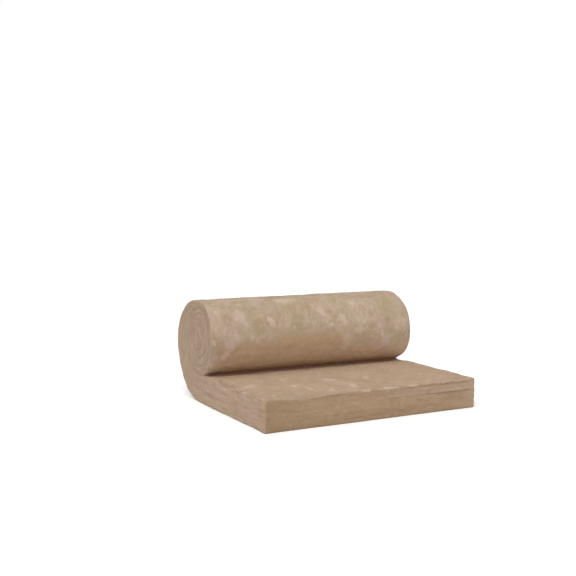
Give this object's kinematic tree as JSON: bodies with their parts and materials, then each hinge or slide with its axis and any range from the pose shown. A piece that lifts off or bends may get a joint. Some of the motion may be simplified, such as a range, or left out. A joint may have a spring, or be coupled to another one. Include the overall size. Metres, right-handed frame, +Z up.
{
  "type": "insulation roll",
  "caption": "Partly unrolled glass wool blanket: a flat stretch on the floor running up behind and into a roll that rests on it.",
  "frame": {"origin": "on the floor, in the middle of the footprint: halfway along the roll's axis, and halfway from the cut end to the back of the roll", "axes": "+X along the roll's axis and across the blanket's width, +Y from the cut end towards the roll, +Z up"},
  "size_m": [1.2, 0.963, 0.515],
  "materials": {
    "wool": "matte"
  },
  "bodies": {
    "root": {"wool_blanket": "wool"}
  },
  "joints": []
}
